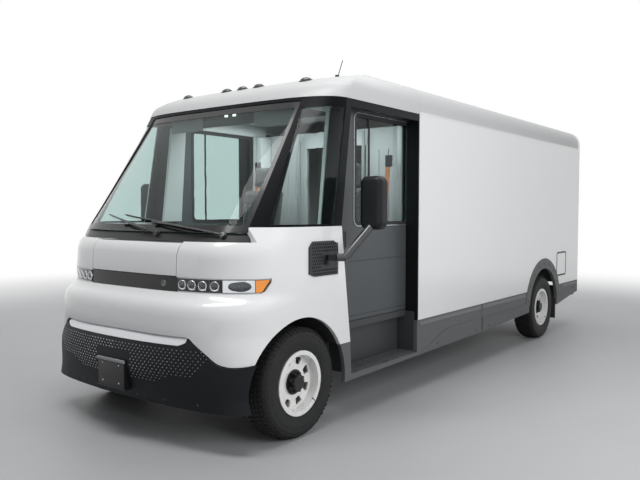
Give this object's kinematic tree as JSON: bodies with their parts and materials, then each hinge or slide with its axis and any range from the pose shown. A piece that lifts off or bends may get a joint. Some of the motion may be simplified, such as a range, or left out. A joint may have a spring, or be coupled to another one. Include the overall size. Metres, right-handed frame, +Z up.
{
  "type": "electric walk-in delivery van",
  "caption": "Electric walk-in delivery van with a boxy load body, bowed windscreen, sliding cab doors, twin rear doors, folding mirrors and steered front wheels.",
  "frame": {"origin": "on the ground, on the centre plane, halfway between the nose and the rear step", "axes": "+Z up, nose towards -Y, the left side of the van towards +X"},
  "size_m": [2.68, 6.74, 2.7003],
  "materials": {
    "white_paint": "gloss",
    "cladding": "matte",
    "gloss_black": "gloss",
    "trim_black": "satin",
    "glass": "clear",
    "lamp": "gloss",
    "chassis_black": "satin",
    "battery_case": "matte",
    "tyre": "matte",
    "white_steel": "gloss",
    "floor": "matte",
    "bulkhead_grey": "satin",
    "interior": "matte",
    "seat_fabric": "woven"
  },
  "bodies": {
    "van_body": {"aerial": "trim_black", "battery_pack": "battery_case", "bulkhead": "bulkhead_grey", "cab_floor": "floor", "cab_roof": "white_paint", "cargo_floor": "floor", "cargo_roof": "white_paint", "cargo_side_left": "white_paint", "cargo_side_right": "white_paint", "chassis_frame": "chassis_black", "cowl_panel": "trim_black", "dashboard": "interior", "door_surround_left": "gloss_black", "door_surround_right": "gloss_black", "door_tracks": "trim_black", "fender_left": "white_paint", "fender_right": "white_paint", "front_bumper": "cladding", "front_drive_unit": "chassis_black", "front_fascia": "white_paint", "front_suspension": "chassis_black", "front_wheelhouses": "trim_black", "leaf_springs": "chassis_black", "light_bar": "gloss_black", "mirror_bases": "trim_black", "quarter_windows": "glass", "rear_axle": "chassis_black", "rear_bumper": "chassis_black", "rear_frame": "white_paint", "roof_marker_lamps": "lamp", "seat_bases": "interior", "seats": "seat_fabric", "skirt_left": "cladding", "skirt_right": "cladding", "tail_lamps": "lamp", "windshield": "glass", "windshield_frame": "gloss_black", "wipers": "trim_black"},
    "left_steering_knuckle": {"steering_knuckle_left": "chassis_black"},
    "right_steering_knuckle": {"steering_knuckle_right": "chassis_black"},
    "left_front_wheel": {"front_wheel_left": "white_steel", "front_tyre_left": "tyre"},
    "right_front_wheel": {"front_wheel_right": "white_steel", "front_tyre_right": "tyre"},
    "left_rear_wheel": {"rear_wheel_left": "white_steel", "rear_tyre_left": "tyre"},
    "right_rear_wheel": {"rear_wheel_right": "white_steel", "rear_tyre_right": "tyre"},
    "steering_wheel": {"steering_wheel": "interior"},
    "left_sliding_door": {"sliding_door_left": "gloss_black", "sliding_door_glass_left": "glass"},
    "right_sliding_door": {"sliding_door_right": "gloss_black", "sliding_door_glass_right": "glass"},
    "left_rear_door": {"rear_door_left": "white_paint"},
    "right_rear_door": {"rear_door_right": "white_paint"},
    "hood": {"hood": "white_paint"},
    "charge_port_door": {"charge_port_door": "white_paint"},
    "left_mirror": {"mirror_left": "trim_black"},
    "right_mirror": {"mirror_right": "trim_black"}
  },
  "joints": [
    {"name": "left_steer", "type": "hinge", "parent": "van_body", "child": "left_steering_knuckle", "pos_m": [0.8, -2.59, 0.375], "axis": [0, 0, 1], "range_deg": [-32, 32]},
    {"name": "left_front_wheel_spin", "type": "hinge", "parent": "left_steering_knuckle", "child": "left_front_wheel", "pos_m": [0.9275, -2.59, 0.375], "axis": [1, 0, 0], "continuous": true},
    {"name": "left_rear_wheel_spin", "type": "hinge", "parent": "van_body", "child": "left_rear_wheel", "pos_m": [0.9275, 2.03, 0.375], "axis": [1, 0, 0], "continuous": true},
    {"name": "left_sliding_door_travel", "type": "slide", "parent": "van_body", "child": "left_sliding_door", "axis": [0, 1, 0], "range_m": [0, 0.95]},
    {"name": "left_rear_door_hinge", "type": "hinge", "parent": "van_body", "child": "left_rear_door", "pos_m": [0.968, 3.352, 1.4], "axis": [0, 0, -1], "range_deg": [0, 165]},
    {"name": "left_mirror_fold", "type": "hinge", "parent": "van_body", "child": "left_mirror", "pos_m": [1.1, -2.36, 1.2], "axis": [0, 0, 1], "range_deg": [-70, 8]},
    {"name": "right_steer", "type": "hinge", "parent": "van_body", "child": "right_steering_knuckle", "pos_m": [-0.8, -2.59, 0.375], "axis": [0, 0, 1], "range_deg": [-32, 32]},
    {"name": "right_front_wheel_spin", "type": "hinge", "parent": "right_steering_knuckle", "child": "right_front_wheel", "pos_m": [-0.9275, -2.59, 0.375], "axis": [1, 0, 0], "continuous": true},
    {"name": "right_rear_wheel_spin", "type": "hinge", "parent": "van_body", "child": "right_rear_wheel", "pos_m": [-0.9275, 2.03, 0.375], "axis": [1, 0, 0], "continuous": true},
    {"name": "right_sliding_door_travel", "type": "slide", "parent": "van_body", "child": "right_sliding_door", "axis": [0, 1, 0], "range_m": [0, 0.95]},
    {"name": "right_rear_door_hinge", "type": "hinge", "parent": "van_body", "child": "right_rear_door", "pos_m": [-0.968, 3.352, 1.4], "axis": [0, 0, 1], "range_deg": [0, 165]},
    {"name": "right_mirror_fold", "type": "hinge", "parent": "van_body", "child": "right_mirror", "pos_m": [-1.1, -2.36, 1.2], "axis": [0, 0, -1], "range_deg": [-70, 8]},
    {"name": "steering_wheel_turn", "type": "hinge", "parent": "van_body", "child": "steering_wheel", "pos_m": [0.48, -2.33643, 1.26554], "axis": [0, 0.8192, 0.5736], "range_deg": [-480, 480]},
    {"name": "hood_hinge", "type": "hinge", "parent": "van_body", "child": "hood", "pos_m": [0, -3.111, 1.322], "axis": [-1, 0, 0], "range_deg": [0, 60]},
    {"name": "charge_port_hinge", "type": "hinge", "parent": "van_body", "child": "charge_port_door", "pos_m": [1.0495, 2.5145, 0.867], "axis": [0, 0, -1], "range_deg": [0, 110]}
  ],
  "couplings": [
    {"joint": "right_steer", "follows": "left_steer", "ratio": 1},
    {"joint": "steering_wheel_turn", "follows": "left_steer", "ratio": 15}
  ]
}
